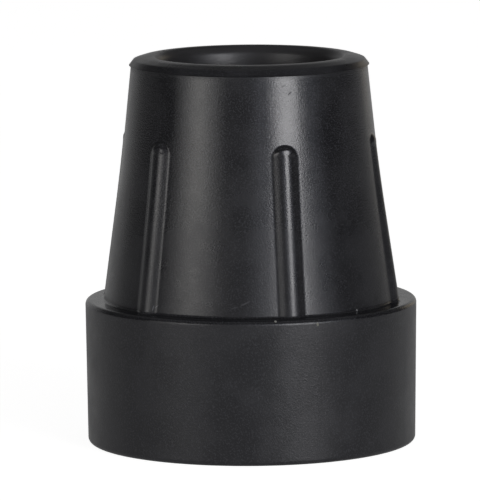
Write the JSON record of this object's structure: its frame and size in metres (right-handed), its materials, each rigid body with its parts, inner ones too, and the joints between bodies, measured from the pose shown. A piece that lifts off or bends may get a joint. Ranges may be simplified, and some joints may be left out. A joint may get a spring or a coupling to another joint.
{
  "type": "rubber cane tip",
  "caption": "Moulded rubber ferrule for the foot of a walking cane: a wide flat foot, a tapered ribbed neck and a blind round socket that grips the shaft.",
  "frame": {"origin": "centre of the foot's underside, on the ground", "axes": "+Z along the axis of the shaft's socket, out of its mouth; +X midway between two ribs"},
  "size_m": [0.036, 0.036, 0.0421],
  "materials": {
    "rubber": "semi-matt moulded black rubber, a little duller on the foot"
  },
  "bodies": {
    "root": {"cane_tip": "rubber"}
  },
  "joints": []
}
